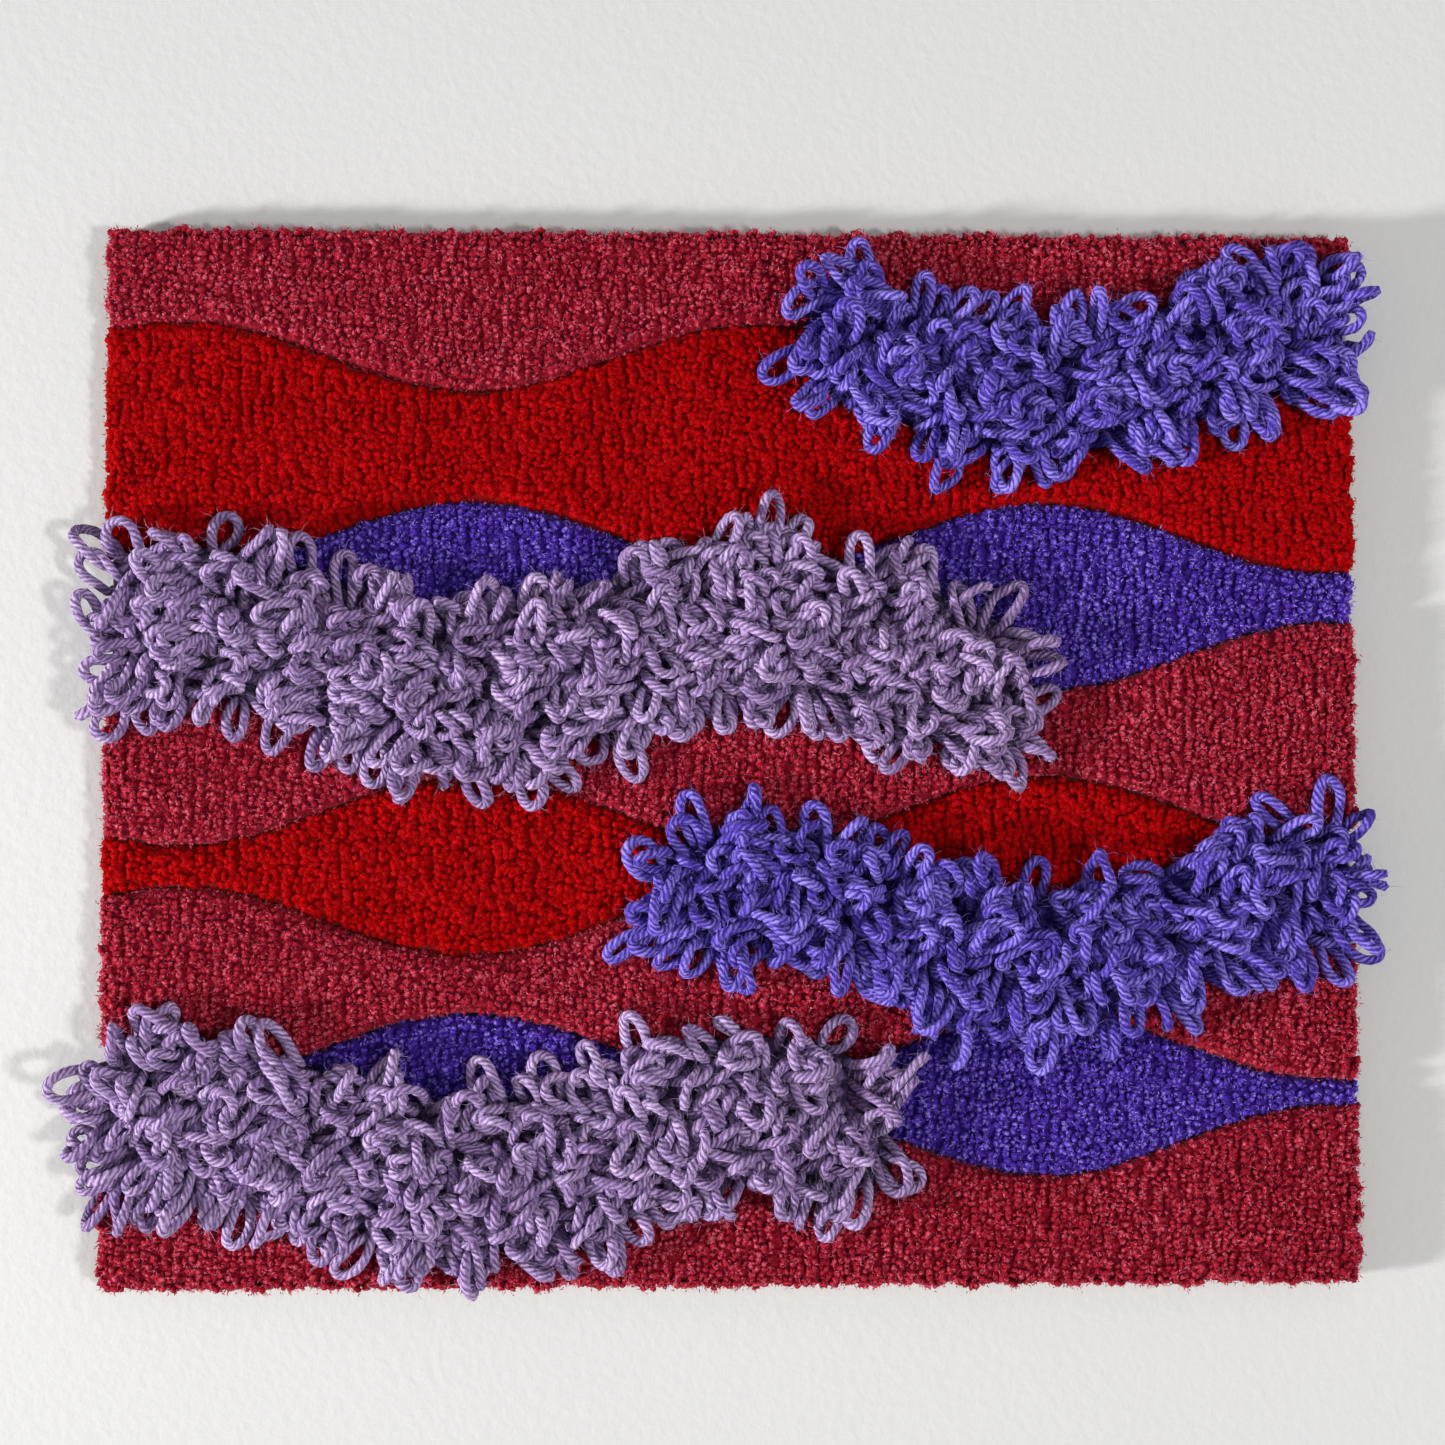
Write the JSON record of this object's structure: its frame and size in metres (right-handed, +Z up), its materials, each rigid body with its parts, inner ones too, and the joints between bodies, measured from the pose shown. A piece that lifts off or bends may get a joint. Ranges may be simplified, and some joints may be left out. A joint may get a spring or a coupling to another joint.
{
  "type": "tufted wall art",
  "caption": "Flat tufted wall hanging with waves of cut pile and raised bands of long yarn loops, on a thin backing cloth that hangs against a wall.",
  "frame": {"origin": "middle of the backing cloth's top edge, on its back face", "axes": "+Z up, +X to the right seen from the front, the pile faces -Y and the back face lies in the plane y = 0"},
  "size_m": [0.531, 0.0308, 0.42],
  "materials": {
    "backing_cloth": "plain woven cotton, matt",
    "raspberry_pile": "cut wool pile, matt with a soft sheen at grazing angles",
    "red_pile": "cut acrylic pile, plush and slightly lustrous",
    "violet_pile": "cut wool pile, matt",
    "lilac_loops": "plied wool yarn in long loops, slightly fuzzy",
    "violet_loops": "plied wool yarn in long loops, slightly fuzzy"
  },
  "bodies": {
    "root": {"backing_cloth": "backing_cloth", "raspberry_pile_1": "raspberry_pile", "raspberry_pile_2": "raspberry_pile", "raspberry_pile_3": "raspberry_pile", "raspberry_pile_4": "raspberry_pile", "raspberry_pile_5": "raspberry_pile", "red_pile_1": "red_pile", "red_pile_2": "red_pile", "red_pile_3": "red_pile", "violet_pile_1": "violet_pile", "violet_pile_2": "violet_pile", "violet_pile_3": "violet_pile", "violet_pile_4": "violet_pile", "lilac_loops_1": "lilac_loops", "lilac_loops_2": "lilac_loops", "violet_loops_1": "violet_loops", "violet_loops_2": "violet_loops"}
  },
  "joints": []
}
